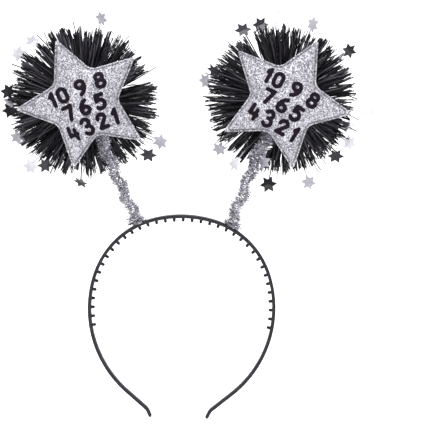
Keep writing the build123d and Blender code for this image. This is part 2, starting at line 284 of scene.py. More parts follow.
class Paint:
    """A node material with a principled shader, built a few nodes at a time."""

    def __init__(self, name, **sockets):
        self.material = bpy.data.materials.new(name)
        self.material.use_nodes = True
        self.tree = self.material.node_tree
        self.tree.nodes.clear()
        output = self.tree.nodes.new("ShaderNodeOutputMaterial")
        self.shader = self.tree.nodes.new("ShaderNodeBsdfPrincipled")
        self.tree.links.new(self.shader.outputs[0], output.inputs[0])
        self.place = self.tree.nodes.new("ShaderNodeTexCoord").outputs["Object"]
        for socket, value in sockets.items():
            self.shader.inputs[socket.replace("_", " ")].default_value = value

    def add(self, kind, **inputs):
        """New node; inputs are values or the output sockets that feed them, by socket name."""
        made = self.tree.nodes.new("ShaderNode" + kind)
        for socket, value in inputs.items():
            self.feed(made, socket.replace("_", " "), value)
        return made

    def feed(self, made, socket, value):
        target = made.inputs[int(socket[2:])] if socket.startswith("at") else made.inputs[socket]
        if isinstance(value, bpy.types.NodeSocket):
            self.tree.links.new(value, target)
        else:
            target.default_value = value

    def noise(self, scale, detail=3.0, roughness=0.5):
        made = self.add("TexNoise", Scale=scale, Detail=detail, Roughness=roughness, Vector=self.place)
        return made.outputs["Fac"]

    def cells(self, scale):
        """A colour for each cell."""
        return self.add("TexVoronoi", Scale=scale, Vector=self.place).outputs["Color"]

    def ramp(self, factor, *stops):
        """Colour ramp from (position, grey or colour) stops."""
        made = self.add("ValToRGB", Fac=factor)
        elements = made.color_ramp.elements
        while len(elements) < len(stops):
            elements.new(0.5)
        for element, (position, colour) in zip(elements, stops):
            element.position = position
            element.color = (colour, colour, colour, 1) if np.isscalar(colour) else (*colour, 1)
        return made.outputs["Color"]

    def mix(self, factor, first, second, blend="MIX"):
        made = self.tree.nodes.new("ShaderNodeMix")
        made.data_type = "RGBA"
        made.blend_type = blend
        for index, value in ((0, factor), (6, first), (7, second)):
            self.feed(made, f"at{index}", value)
        return made.outputs[2]

    def vector(self, operation, first, second=(0.0, 0.0, 0.0)):
        made = self.tree.nodes.new("ShaderNodeVectorMath")
        made.operation = operation
        self.feed(made, "at0", first)
        self.feed(made, "at1", second)
        return made.outputs[0]

    def tone(self):
        """The value that each strip or seam vertex carries."""
        made = self.tree.nodes.new("ShaderNodeAttribute")
        made.attribute_name = "tone"
        return made.outputs["Fac"]

    def bump(self, height, strength, distance, normal=None):
        made = self.add("Bump", Height=height, Strength=strength, Distance=distance)
        if normal is not None:
            self.tree.links.new(normal, made.inputs["Normal"])
        return made.outputs["Normal"]

    def set(self, **inputs):
        for socket, value in inputs.items():
            self.feed(self.shader, socket.replace("_", " "), value)
        return self.material


def band_plastic():
    paint = Paint("band_plastic", Specular_IOR_Level=0.0, Coat_Weight=0.4, Coat_Roughness=0.3)
    colour = paint.ramp(paint.noise(90, 4), (0.3, (0.020, 0.018, 0.024)), (0.75, (0.034, 0.030, 0.040)))
    rough = paint.ramp(paint.noise(420, 5, 0.65), (0.3, 0.38), (0.72, 0.55))
    normal = paint.bump(paint.noise(2600, 2), 0.12, 0.00012)
    normal = paint.bump(paint.noise(160, 2), 0.12, 0.0006, normal)
    return paint.set(Base_Color=colour, Roughness=rough, Normal=normal)


def noise_finish(name, noises, colours, roughs, bump, **sockets):
    """Finish whose colour, roughness and bump each follow a noise, with the stops of the two ramps."""
    paint = Paint(name, **sockets)
    shade, wear, relief = (paint.noise(*noise) for noise in noises)
    colour, rough = paint.ramp(shade, *colours), paint.ramp(wear, *roughs)
    return paint.set(Base_Color=colour, Roughness=rough, Normal=paint.bump(relief, *bump))


def silver_foil(name, dark, light, metallic):
    """Bright metallised film, each strip with its own tone."""
    paint = Paint(name, Metallic=metallic)
    tone = paint.tone()
    colour = paint.ramp(tone, (0.0, dark), (1.0, light))
    crinkle = paint.noise(1500, 3)
    colour = paint.mix(0.25, colour, paint.ramp(crinkle, (0.35, 0.35), (0.7, 1.0)), "MULTIPLY")
    rough = paint.ramp(tone, (0.0, 0.4), (1.0, 0.24))
    return paint.set(Base_Color=colour, Roughness=rough, Normal=paint.bump(crinkle, 0.45, 0.0003))


def black_foil(name, dark, light, gloss):
    """Black lacquered film with a faint violet cast, each strip with its own tone."""
    paint = Paint(name, Specular_IOR_Level=0.0, Coat_Weight=gloss, Coat_Roughness=0.22)
    middle = tuple(0.75 * a + 0.25 * b for a, b in zip(dark, light))
    colour = paint.ramp(paint.tone(), (0.0, dark), (0.6, middle), (1.0, light))
    streak = paint.noise(900, 3)
    rough = paint.ramp(streak, (0.3, 0.26), (0.75, 0.5))
    return paint.set(Base_Color=colour, Roughness=rough, Normal=paint.bump(streak, 0.35, 0.00035))


def glitter_fabric():
    """Silver glitter on fabric: coarse and fine flakes, each with its own tilt and brightness, and painted
    shade where the tone attribute is set.
    """
    paint = Paint("star_glitter", Metallic=0.3)
    coarse, fine = paint.cells(1500), paint.cells(3100)
    flakes = paint.mix(0.25, coarse, fine)
    grain = paint.add("RGBToBW", Color=flakes).outputs[0]
    greys = ((0.3, (0.13, 0.127, 0.15)), (0.5, (0.37, 0.36, 0.41)), (0.7, (0.80, 0.79, 0.85)))
    colour = paint.ramp(grain, *greys)
    colour = paint.mix(0.3, colour, paint.ramp(paint.noise(60, 3), (0.3, 0.7), (0.7, 1.0)), "MULTIPLY")
    # painted shade: the tone attribute darkens the glitter in the seam groove and where the pad dips towards
    # its edge
    colour = paint.mix(paint.tone(), colour, paint.mix(1.0, colour, (0.62, 0.62, 0.66, 1), "MULTIPLY"))
    rough = paint.ramp(paint.add("RGBToBW", Color=fine).outputs[0], (0.25, 0.28), (0.75, 0.55))
    tilt = paint.vector("MULTIPLY", paint.vector("SUBTRACT", flakes, (0.5, 0.5, 0.5)), (0.9, 0.9, 0.9))
    facing = paint.add("NewGeometry").outputs["Normal"]
    normal = paint.vector("NORMALIZE", paint.vector("ADD", facing, tilt))
    normal = paint.bump(paint.noise(300, 3), 0.2, 0.0006, normal)
    return paint.set(Base_Color=colour, Roughness=rough, Normal=normal)


def flock():
    """Black flocked print: short fibres that catch a little violet light."""
    paint = Paint("numeral_flock", Sheen_Weight=0.07, Sheen_Roughness=0.4, Specular_IOR_Level=0.1)
    paint.shader.inputs["Sheen Tint"].default_value = (0.62, 0.5, 0.7, 1)
    fibre = paint.noise(3800, 4, 0.7)
    colour = paint.ramp(fibre, (0.3, (0.006, 0.0035, 0.007)), (0.72, (0.021, 0.013, 0.023)))
    colour = paint.mix(0.6, colour, paint.ramp(paint.noise(140, 2), (0.35, 0.35), (0.7, 1.0)), "MULTIPLY")
    rough = paint.ramp(fibre, (0.3, 0.62), (0.7, 0.9))
    return paint.set(Base_Color=colour, Roughness=rough, Normal=paint.bump(fibre, 0.7, 0.00025))


# the paper's own light beside the object and far behind it, and the depths between which it rises
PAPER_GLOW, PAPER_GLOW_Y = (0.15, 0.85), (0.12, 0.3)


def studio_paper():
    """White backdrop paper, lit from behind where it stands behind the object."""
    paint = Paint("studio_paper", Specular_IOR_Level=0.05)
    paint.shader.inputs["Emission Color"].default_value = (1.0, 1.0, 1.0, 1)
    grain = paint.noise(6, 2)
    colour = paint.ramp(grain, (0.3, 0.90), (0.7, 0.92))
    rough = paint.ramp(grain, (0.3, 0.85), (0.7, 0.95))
    depth = paint.add("SeparateXYZ", Vector=paint.place).outputs["Y"]
    glow = paint.add("MapRange", Value=depth)
    for socket, value in zip((1, 2, 3, 4), PAPER_GLOW_Y + PAPER_GLOW):
        glow.inputs[socket].default_value = value
    return paint.set(Base_Color=colour, Roughness=rough, Emission_Strength=glow.outputs[0])


PLASTIC = band_plastic()
STEEL = noise_finish(
    "spring_steel", ((700, 3), (2200, 3), (5200, 2)), ((0.35, (0.42, 0.42, 0.44)), (0.7, (0.66, 0.66, 0.68))),
    ((0.3, 0.22), (0.7, 0.42)), (0.2, 0.00005), Metallic=1.0, Anisotropic=0.3,
)
TINSEL = silver_foil("tinsel_silver", (0.13, 0.12, 0.165), (0.93, 0.92, 1.0), 0.8)
SEQUIN_SILVER = silver_foil("sequin_silver", (0.36, 0.35, 0.42), (0.93, 0.93, 0.98), 0.2)
# the fringe's light tone is a painted highlight on some strips
FRINGE = black_foil("fringe_foil", (0.002, 0.0017, 0.0024), (0.120, 0.112, 0.138), 0.35)
SEQUIN_BLACK = black_foil("sequin_black", (0.006, 0.005, 0.007), (0.04, 0.038, 0.05), 0.6)
GLITTER = glitter_fabric()
FELT = noise_finish(
    "star_backing", ((2600, 6, 0.7),) * 3, ((0.3, (0.24, 0.24, 0.26)), (0.7, (0.44, 0.44, 0.46))),
    ((0.3, 0.75), (0.7, 0.95)), (0.6, 0.0003), Sheen_Weight=0.3, Sheen_Roughness=0.5,
)
FLOCKED = flock()
GLUE = noise_finish(
    "clear_glue", ((380, 3), (900, 3), (380, 3)), ((0.3, (0.52, 0.51, 0.48)), (0.7, (0.70, 0.69, 0.66))),
    ((0.3, 0.16), (0.7, 0.34)), (0.35, 0.0006), Transmission_Weight=0.45, IOR=1.48, Subsurface_Weight=0.15,
)
YARN = noise_finish(
    "tinsel_yarn", ((1800, 4, 0.6),) * 3, ((0.3, (0.25, 0.25, 0.28)), (0.7, (0.50, 0.50, 0.54))),
    ((0.3, 0.55), (0.7, 0.85)), (0.5, 0.0002), Sheen_Weight=0.3,
)


# ---- headband ----

def band_stations():
    """Centre line down the right side: rows of x, z, heading below +X, and length from the middle."""
    rows = []
    x, z, heading, length = 0.0, BAND_MIDDLE_Z, 0.0, 0.0
    runs = [*BAND_ARCS, (None, BAND_STRAIGHT), TIP_ARC, (None, TIP_STRAIGHT)]
    rows.append((x, z, heading, length))
    for radius, amount in runs:
        run_length = amount if radius is None else radius * radians(abs(amount))
        turn = 0.0 if radius is None else radians(amount)
        steps = max(2, round(run_length / STATION))
        step = run_length / steps
        for _ in range(steps):
            middle = heading + turn / steps / 2
            x += step * cos(middle)
            z -= step * sin(middle)
            heading += turn / steps
            length += step
            rows.append((x, z, heading, length))
    return np.array(rows)


def band_section():
    """Rounded rectangle round the band, as fractions: outwards, and across, plus corner offsets."""
    points = []
    for corner, (out, across) in enumerate(((1, 1), (-1, 1), (-1, -1), (1, -1))):
        for number in range(5):
            turn = corner * pi / 2 + number * pi / 8
            points.append((out, across, cos(turn), sin(turn)))
        if corner % 2 == 0:
            points.append((0, across, 0, across))
        else:
            points += [(out, across * share, out, 0) for share in (0.5, 0, -0.5)]
    return points


def band_half(side):
    """One half of the headband from the middle of the crown to its tip, with teeth, as a mesh."""
    rows = band_stations()
    total = rows[-1, 3]
    rings = []
    section = band_section()
    for x, z, heading, length in rows:
        fall = np.clip((z - TAPER_Z[0]) / (TAPER_Z[1] - TAPER_Z[0]), 0, 1)
        half_wide = BAND_HALF_WIDE[0] + (BAND_HALF_WIDE[1] - BAND_HALF_WIDE[0]) * fall
        left = max(0.0, total - length)
        nose = sqrt(max(0.02, 1 - (1 - min(1.0, left / (1.1 * MM))) ** 2))
        half_thick = BAND_HALF_THICK * nose
        half_wide *= 0.55 + 0.45 * nose
        corner = min(BAND_CORNER_R, half_thick * 0.8)
        for out, across, corner_out, corner_across in section:
            outward = out * (half_thick - corner) + corner_out * corner
            depth = across * (half_wide - corner) + corner_across * corner
            px = x + outward * sin(heading)
            pz = z + outward * cos(heading)
            rings.append((side * px, depth, pz))
    sides = len(section)
    faces = grid_faces(len(rows), sides)
    last = (len(rows) - 1) * sides
    faces += [list(range(sides))[::-1], list(range(last, last + sides))]
    parts = [(np.array(rings), faces)]
    for number in range(-TEETH_EACH_SIDE, TEETH_EACH_SIDE + 1):
        along = number * TOOTH_PITCH + TOOTH_ROW_SHIFT
        if along * side > 0:
            parts.append(tooth(rows, side, abs(along)))
    verts, faces = join_meshes(parts)
    if side < 0:
        faces = [face[::-1] for face in faces]
    return verts, faces


def tooth(rows, side, length):
    """Rounded tooth on the band's inner face: flared at its root, domed at its tip."""
    x, z, heading = (np.interp(length, rows[:, 3], rows[:, column]) for column in range(3))
    inward = np.array([-sin(heading), 0, -cos(heading)])
    along = np.array([cos(heading), 0, -sin(heading)])
    base = np.array([x, 0, z]) + inward * (BAND_HALF_THICK * 0.6)
    tall = TOOTH_TALL + BAND_HALF_THICK * 0.4
    points, sides = [], 14
    steps = 9
    for step in range(steps):
        rise = step / (steps - 1)
        dome = sqrt(max(0.03, 1 - (max(0.0, rise - 0.7) / 0.3) ** 2))
        flare = 1 + 0.3 * max(0.0, 1 - rise / 0.3) ** 2
        for number in range(sides):
            turn = number * 2 * pi / sides
            c, s = cos(turn), sin(turn)
            wide = np.sign(c) * abs(c) ** 0.6 * TOOTH_HALF_WIDE * flare * dome
            deep = np.sign(s) * abs(s) ** 0.6 * TOOTH_HALF_DEEP * (0.75 + 0.25 * dome)
            deep *= 1 + 0.3 * (flare - 1)
            points.append(base + inward * rise * tall + along * wide + np.array([0, deep, 0]))
    points = np.array(points)
    points[:, 0] *= side
    faces = [face[::-1] for face in grid_faces(steps, sides)]
    last = (steps - 1) * sides
    faces += [list(range(sides)), list(range(last, last + sides))[::-1]]
    return points, faces


def build_headband():
    arm_nodes = {"left": ["headband_crown", "headband_left_arm"], "right": ["headband_right_arm"]}
    rows = band_stations()
    for name, side in SIDES.items():
        verts, faces = band_half(side)
        obj = make_object(f"headband_{name}_half", verts, faces, PLASTIC, smooth=True)
        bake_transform(obj)
        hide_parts(*arm_nodes[name])


# ---- springs and silver tinsel ----

WIRE_R, COIL_R, COIL_PITCH, COIL_LIFT = 0.27 * MM, 2.1 * MM, 3.0 * MM, 0.7 * MM
YARN_R, YARN_WIND_R, YARN_PITCH = 0.35 * MM, 2.75 * MM, 9.0 * MM
COIL_CLEAR, HUB_CLEAR = 2.9 * MM, 6.3 * MM
POINTS_PER_TURN = 26
# the tinsel wanders about its spring: reach, length of one turn, first place where it is furthest to +X
WANDER = {"left": (1.25 * MM, 16.4 * MM, 10.2 * MM), "right": (1.2 * MM, 19.6 * MM, 22.2 * MM)}
BOW = {"left": 0.3 * MM, "right": -1.9 * MM}
SLIVERS_PER_MM = 34
CHENILLE_PITCH = 3.3 * MM
# the tinsel's usual radius in mm, what it gains at its foot and its top, and how fast that fades
TINSEL_R, FOOT_FLARE, TOP_FLARE = 3.1, 1.9, 1.1
FOOT_FADE, TOP_FADE = 3.5 * MM, 14 * MM
FOOT_SLIVERS = 130


def spring_axes(name):
    """Foot, length and the three directions of a spring: along it, sideways towards +X, back."""
    foot, centre = spring_line(name)
    along = centre - foot
    length = along.length
    along = np.array(along / length)
    back = np.array([0.0, 1.0, 0.0])
    sideways = np.cross(back, along)
    return np.array(foot), length, along, sideways, back


def spring_core(name, distance):
    """Points on the wandering core of a spring at distances from its foot."""
    foot, length, along, sideways, back = spring_axes(name)
    reach, pitch, furthest = WANDER[name]
    share = distance / length
    settle = np.clip(share / 0.08, 0, 1) * np.clip((1 - share) / 0.15, 0, 1)
    turn = (distance - furthest) / pitch * 2 * pi
    aside = reach * settle * np.cos(turn) + BOW[name] * np.sin(share * pi)
    behind = reach * settle * np.sin(turn)
    return foot + along * distance[:, None] + sideways * aside[:, None] + back * behind[:, None]


def wound_path(name, start, end, radius, pitch):
    """Helix about a spring's core between two distances from its foot."""
    _, _, _, sideways, back = spring_axes(name)
    count = max(3, round((end - start) / pitch * POINTS_PER_TURN))
    distance = np.linspace(start, end, count)
    turn = distance / pitch * 2 * pi
    return (spring_core(name, distance) + sideways * (radius * np.cos(turn))[:, None]
            + back * (radius * np.sin(turn))[:, None])


def bend_with_spring(obj):
    """Bake a piece's placement into its mesh."""
    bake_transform(obj)


def tinsel_slivers(name, start, end):
    """Short foil slivers all round a spring, slanting along it, fuller at its foot and its top."""
    _, length, along, sideways, back = spring_axes(name)
    count = round((end - start) / MM * SLIVERS_PER_MM)
    distance = RNG.uniform(start, end, count)
    if start < length / 2:
        distance[:FOOT_SLIVERS] = RNG.uniform(0.1, 2.6, FOOT_SLIVERS) * MM
    turn = distance / CHENILLE_PITCH * 2 * pi + pi * RNG.integers(0, 2, count) + RNG.normal(0, 0.34, count)
    flare = FOOT_FLARE * np.exp(-distance / FOOT_FADE)
    flare += TOP_FLARE * np.exp(-(length - HUB_CLEAR - distance) / TOP_FADE)
    root = RNG.uniform(1.4, 2.6, count) * MM
    edge = (TINSEL_R + flare) * RNG.triangular(0.72, 1.0, 1.85, count) * MM
    slant = RNG.normal(0.5, 0.8, count) * MM
    swirl = RNG.normal(0.2, 0.35, count)
    stations = 4
    share = np.linspace(0, 1, stations)[None, :]
    radius = root[:, None] + (edge - root)[:, None] * share
    angle = turn[:, None] + swirl[:, None] * share
    rise = distance[:, None] + slant[:, None] * share ** 1.3
    core = spring_core(name, rise.ravel()).reshape(count, stations, 3)
    spokes = sideways * np.cos(angle)[..., None] + back * np.sin(angle)[..., None]
    centre = core + spokes * radius[..., None]
    face = RNG.uniform(0, pi, count)
    tangent = -sideways * np.sin(turn)[:, None] + back * np.cos(turn)[:, None]
    across = tangent * np.cos(face)[:, None] + along * np.sin(face)[:, None]
    across = np.repeat(across[:, None, :], stations, axis=1)
    width = np.repeat(RNG.uniform(0.15, 0.30, count)[:, None], stations, axis=1) * MM
    verts, faces = ribbon_mesh(centre, across, width, 0.05 * MM)
    shade = np.where(RNG.random(count) < 0.45, RNG.uniform(0, 0.25, count), RNG.uniform(0.6, 1.0, count))
    return verts, faces, np.repeat(shade, stations * 4)


def build_spring(name):
    _, length, _, _, _ = spring_axes(name)
    middle = length / 2
    stretches = {"lower": (0, middle), "upper": (middle, length)}
    for part, (low, high) in stretches.items():
        upper = part == "upper"
        start = max(low, COIL_LIFT)
        end = min(high, length - COIL_CLEAR)
        verts, faces = tube_mesh(wound_path(name, start, end, COIL_R, COIL_PITCH), WIRE_R)
        coil = make_object(f"{name}_spring_{part}", verts, faces, STEEL, smooth=True)
        start, end = max(low, COIL_LIFT), min(high, length - HUB_CLEAR)
        verts, faces = tube_mesh(wound_path(name, start, end, YARN_WIND_R, YARN_PITCH), YARN_R, sides=7)
        yarn = make_object(f"{name}_tinsel_yarn_{part}", verts, faces, YARN, smooth=True)
        verts, faces, tone = tinsel_slivers(name, start, end)
        fringe = make_object(f"{name}_tinsel_fringe_{part}", verts, faces, TINSEL, tone)
        for obj, slot_name in ((coil, "spring_steel"), (yarn, "tinsel_yarn"), (fringe, "tinsel_silver")):
            bend_with_spring(obj)
        if upper:
            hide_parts(f"{name}_spring")
            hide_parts(f"{name}_tinsel_yarn")
            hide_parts(f"{name}_tinsel_sleeve")


# ---- pompoms of black foil ----

def strip_directions(name):
    """Directions of a pompom's strips at their ends: even, drawn towards clumps, and out of its gaps."""
    even = RNG.uniform(0, 360, STRIPS)
    clump = np.round(even / CLUMP_PITCH)
    middle = clump * CLUMP_PITCH + 1.6 * np.sin(clump * 2.7)
    ends = even + CLUMP_PULL * (middle - even)
    for gap, half in GAPS[name]:
        off = (ends - gap + 180) % 360 - 180
        inside = np.abs(off) < 3 * half
        ends[inside] += (np.sign(off) * half * (1 - np.abs(off) / (3 * half)))[inside]
    return ends, clump.astype(int) % round(360 / CLUMP_PITCH)


def foil_strips(name):
    """All strips of a pompom, in mm about its centre: centre lines, across vectors, half widths."""
    ends, clump = strip_directions(name)
    clumps = round(360 / CLUMP_PITCH)
    clump_reach = RNG.normal(FRINGE_R_MM, 1.4, clumps)[clump]
    clump_depth = RNG.uniform(-1.5, 1.5, clumps)[clump]
    place = RNG.uniform(*CORE_DEPTH_MM, STRIPS)
    off_middle = place - CORE_MIDDLE_MM
    reach = np.minimum(clump_reach - np.abs(RNG.normal(0, 2.3, STRIPS)), FRINGE_REACH_MAX_MM)
    reach -= FRINGE_ROUND_MM * (off_middle / CORE_HALF_MM) ** 2
    stray = RNG.random(STRIPS) < STRAY_SHARE
    reach[stray] = RNG.uniform(*STRAY_REACH_MM, stray.sum())
    start_turn = np.radians(ends + RNG.normal(0, 5, STRIPS))
    end_turn = np.radians(ends)
    rim_depth = RIM_MIDDLE_MM + off_middle * RIM_SPREAD + clump_depth + RNG.normal(0, 1.2, STRIPS)
    stations = 8
    share = np.linspace(0, 1, stations)[None, :]
    radius = 0.9 + (reach[:, None] - 0.9) * share
    turn = start_turn[:, None] + (end_turn - start_turn)[:, None] * share ** 1.2
    waves = RNG.uniform(0.8, 2.2, (STRIPS, 1))
    turn += np.radians(RNG.normal(0, 0.9, STRIPS))[:, None] * np.sin(share * pi * waves)
    depth = place[:, None] + (rim_depth - place)[:, None] * share ** 1.2
    depth += RNG.normal(0, 0.55, STRIPS)[:, None] * np.sin(share * pi * 1.5)
    foot, topper = spring_line(name)
    off = (ends - np.degrees(atan2(foot.z - topper.z, foot.x - topper.x)) + 180) % 360 - 180
    behind = np.clip(2 - np.abs(off) / SPRING_ROOM_TURN, 0, 1)[:, None]
    depth = np.maximum(depth, FRINGE_FRONT_MM + SPRING_ROOM_MM * behind * np.clip((radius - 25) / 22, 0, 1))
    centre = np.stack([np.cos(turn) * radius, depth, np.sin(turn) * radius], axis=-1)
    face = RNG.normal(0.2, 0.65, STRIPS)[:, None] + RNG.normal(0, 0.7, STRIPS)[:, None] * share
    tangent = np.stack([-np.sin(turn), np.zeros_like(turn), np.cos(turn)], axis=-1)
    across = tangent * np.cos(face)[..., None] + np.array([0, 1.0, 0]) * np.sin(face)[..., None]
    half_width = np.repeat(RNG.uniform(0.26, 0.43, STRIPS)[:, None], stations, axis=1)
    # strip tones vary at random; the lighter ones, about a quarter of the strips, are painted highlights
    tone = np.where(RNG.random(STRIPS) < 0.27, RNG.uniform(0.65, 1, STRIPS), RNG.beta(1.1, 3.0, STRIPS))
    shift_x, shift_z = FRINGE_SHIFT_MM[name]
    centre += np.array([shift_x, 0, shift_z]) * share[..., None]
    return centre, across, half_width, tone


def build_pompom(name, centre):
    lines, across, half_width, tone = foil_strips(name)
    verts, faces = ribbon_mesh(lines * MM, across, half_width * MM, 0.06 * MM)
    verts = verts + np.array(centre)
    obj = make_object(f"{name}_foil_fringe", verts, faces, FRINGE, np.repeat(tone, lines.shape[1] * 4))
    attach(obj, f"{name}_topper")
    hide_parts(f"{name}_garland_fringe")


def foil_star(direction, reach, depth, tilt, lean, spin):
    """One folded six-pointed foil star and the strip that carries it, in mm about the pompom's centre."""
    turn = radians(direction)
    out = np.array([cos(turn), 0, sin(turn)])
    middle = out * reach + np.array([0, depth, 0])
    size = RNG.uniform(0.9, 1.05)
    ring = [size * (SEQUIN_R if number % 2 == 0 else SEQUIN_WAIST_R) for number in range(12)]
    plate = []
    for height in (-0.07, 0.07):
        plate.append((0, 0, height))
        for number, point_r in enumerate(ring):
            angle = number * pi / 6 + spin
            x, y = point_r * cos(angle), point_r * sin(angle)
            plate.append((x, y, height + 0.12 * abs(x)))
    faces = []
    for number in range(12):
        after = (number + 1) % 12
        faces.append([0, 1 + after, 1 + number])
        faces.append([13, 14 + number, 14 + after])
        faces.append([1 + number, 1 + after, 14 + after, 14 + number])
    turned = Matrix.Rotation(turn, 3, (0, -1, 0)) @ Matrix.Rotation(radians(tilt), 3, (0, 0, 1))
    turned = turned @ Matrix.Rotation(radians(lean), 3, (1, 0, 0))
    turned = turned @ Matrix.Rotation(radians(90), 3, (1, 0, 0))
    plate = np.array(plate) @ np.array(turned).T + middle
    share = np.linspace(0, 1, 8)
    root = np.array([0, 13.5, 0]) + out * 2.0
    line = root + (middle - root) * share[:, None] + np.array([0, 1.4, 0]) * np.sin(share * pi)[:, None]
    tangent = np.array([-sin(turn), 0.35, cos(turn)])
    strip = ribbon_mesh(line[None], np.broadcast_to(tangent, (1, 8, 3)), np.full((1, 8), 0.42), 0.07)
    return join_meshes([(plate, faces), (strip[0], strip[1].tolist())])


def build_foil_stars(name, centre):
    for colour, material in (("black", SEQUIN_BLACK), ("silver", SEQUIN_SILVER)):
        parts = [foil_star(*place, RNG.uniform(0, pi / 3)) for place in SEQUINS[name][colour]]
        tone = np.concatenate([np.full(len(part[0]), RNG.uniform(0.1, 1.0)) for part in parts])
        verts, faces = join_meshes(parts)
        obj = make_object(f"{name}_foil_stars_{colour}", verts * MM + np.array(centre), faces, material, tone)
        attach(obj, f"{name}_topper")
        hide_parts(f"{name}_sequins_{colour}")


# ---- padded stars ----

def corner_arc(before, corner, after, radius):
    """Points of the fillet at a corner between its two neighbours."""
    back, onward = unit(before - corner), unit(after - corner)
    half = np.arccos(np.clip(back.dot(onward), -1, 1)) / 2
    middle = corner + unit(back + onward) * radius / sin(half)
    entry = corner + back * radius / tan(half) - middle
    leave = corner + onward * radius / tan(half) - middle
    start, end = atan2(entry[1], entry[0]), atan2(leave[1], leave[0])
    turns = start + ((end - start + pi) % (2 * pi) - pi) * np.linspace(0, 1, ARC_POINTS)
    return middle + radius * np.array([(cos(turn), sin(turn)) for turn in turns])


def star_loop(inset):
    """Outline of the star, a given distance inside its cut edge, as an array of points in mm."""
    step = pi / 5
    tip_half = atan2(NOTCH_R * sin(step), STAR_R - NOTCH_R * cos(step))
    reach = (STAR_R - inset / sin(tip_half), NOTCH_R - inset / sin(tip_half + step))
    fillets = (TIP_FILLET, NOTCH_FILLET + inset)
    corners = [reach[number % 2] * np.array([cos(pi / 2 + number * step), sin(pi / 2 + number * step)])
               for number in range(10)]
    arcs = [corner_arc(corners[number - 1], corners[number], corners[(number + 1) % 10], fillets[number % 2])
            for number in range(10)]
    shares = np.linspace(0, 1, RUN_POINTS)[1:-1, None]
    points = []
    for arc, next_arc in zip(arcs, arcs[1:] + arcs[:1]):
        points += [arc, arc[-1] + (next_arc[0] - arc[-1]) * shares]
    return np.concatenate(points)


def prism(loop, low, high):
    """Closed prism of an outline between two heights."""
    count = len(loop)
    verts = np.concatenate([np.c_[loop, np.full(count, low)], np.c_[loop, np.full(count, high)]])
    faces = [list(range(count))[::-1], list(range(count, 2 * count))]
    for number in range(count):
        after = (number + 1) % count
        faces.append([number, after, count + after, count + number])
    return verts, faces


def remeshed(verts, faces, voxel):
    """Even voxel mesh of closed shapes, as (verts, faces)."""
    obj = make_object("remesh_work", verts, faces, GLITTER)
    change = obj.modifiers.new("even", "REMESH")
    change.mode = "VOXEL"
    change.voxel_size = voxel
    return applied(obj)


def applied(obj):
    """Final verts and faces of an object with its modifiers, and the object removed."""
    graph = bpy.context.evaluated_depsgraph_get()
    mesh = bpy.data.meshes.new_from_object(obj.evaluated_get(graph))
    verts = np.array([vertex.co for vertex in mesh.vertices])
    faces = [list(polygon.vertices) for polygon in mesh.polygons]
    bpy.data.meshes.remove(mesh)
    bpy.data.objects.remove(obj)
    return verts, faces


def puffed_pad():
    """The star's stuffed middle in mm, blown up as cloth from a flat star with its back held flat."""
    verts, faces = prism(star_loop(SEAM_INSET), 0.15, PAD_START)
    verts, faces = remeshed(verts * SIM_SCALE * MM, faces, 1.05 * SIM_SCALE * MM)
    rest = verts.copy()
    obj = make_object("pad_work", verts, faces, GLITTER)
    held = obj.vertex_groups.new(name="held")
    low = rest[:, 2] < 1.3 * SIM_SCALE * MM
    held.add([int(index) for index in np.flatnonzero(low)], 1.0, "REPLACE")
    cloth = obj.modifiers.new("puff", "CLOTH")
    cloth.settings.quality = 6
    cloth.settings.mass = 0.25
    cloth.settings.tension_stiffness = 12
    cloth.settings.compression_stiffness = 12
    cloth.settings.shear_stiffness = 4
    cloth.settings.bending_stiffness = 0.6
    cloth.settings.shrink_min = -0.05
    cloth.settings.use_pressure = True
    cloth.settings.uniform_pressure_force = 4.0
    cloth.settings.effector_weights.gravity = 0.0
    cloth.settings.vertex_group_mass = "held"
    scene = bpy.context.scene
    scene.frame_start, scene.frame_end = 1, SIM_FRAMES
    cloth.point_cache.frame_start, cloth.point_cache.frame_end = 1, SIM_FRAMES
    for number in range(1, SIM_FRAMES + 1):
        scene.frame_set(number)
    verts, faces = applied(obj)
    scene.frame_set(1)
    verts, rest = verts / (SIM_SCALE * MM), rest / (SIM_SCALE * MM)
    moved = verts - rest
    size = np.linalg.norm(moved, axis=1, keepdims=True)
    verts = rest + moved * (PAD_SWELL * np.tanh(size / PAD_SWELL) / np.maximum(size, 1e-9))
    return verts, faces


def rim():
    """Flat sealed rim round the pad, with a pressed seam line, as a closed ring in mm, with painted shade
    along the seam line.
    """
    profile = [(0.0, 0.12), (0.1, 0.34), (0.3, RIM_THICK + 0.06), (0.7, RIM_THICK + 0.08), (1.05, RIM_THICK),
               (1.25, 0.24), (1.5, 0.2), (1.8, 0.55), (2.9, 0.9), (2.9, 0.1), (0.0, 0.0)]
    rings = []
    for inset, height in profile:
        loop = star_loop(inset)
        rings.append(np.c_[loop, np.full(len(loop), height)])
    count = len(rings[0])
    faces = [face[::-1] for face in grid_faces(len(profile), count)]
    last = (len(profile) - 1) * count
    for number in range(count):
        after = (number + 1) % count
        faces.append([number, after, last + after, last + number])
    # painted shade in the pressed seam groove, where the tone is 0.8
    tone = np.repeat([0.0 if not 1.1 < inset < 1.7 else 0.8 for inset, _ in profile], count)
    return np.concatenate(rings), faces, tone


def star_place(name, centre):
    """Matrix from the star's own plane, in mm, to the frame. The star's back is at height zero."""
    turn = radians(STAR_TURN[name])
    back_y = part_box(f"{name}_star_back")[0].y
    across_up_front = (cos(turn), 0, sin(turn)), (-sin(turn), 0, cos(turn)), (0, -1, 0)
    place = Matrix.Identity(4)
    for column, direction in enumerate(across_up_front):
        place.col[column][:3] = [value * MM for value in Vector(direction)]
    place.translation = (centre.x, back_y, centre.z)
    return place


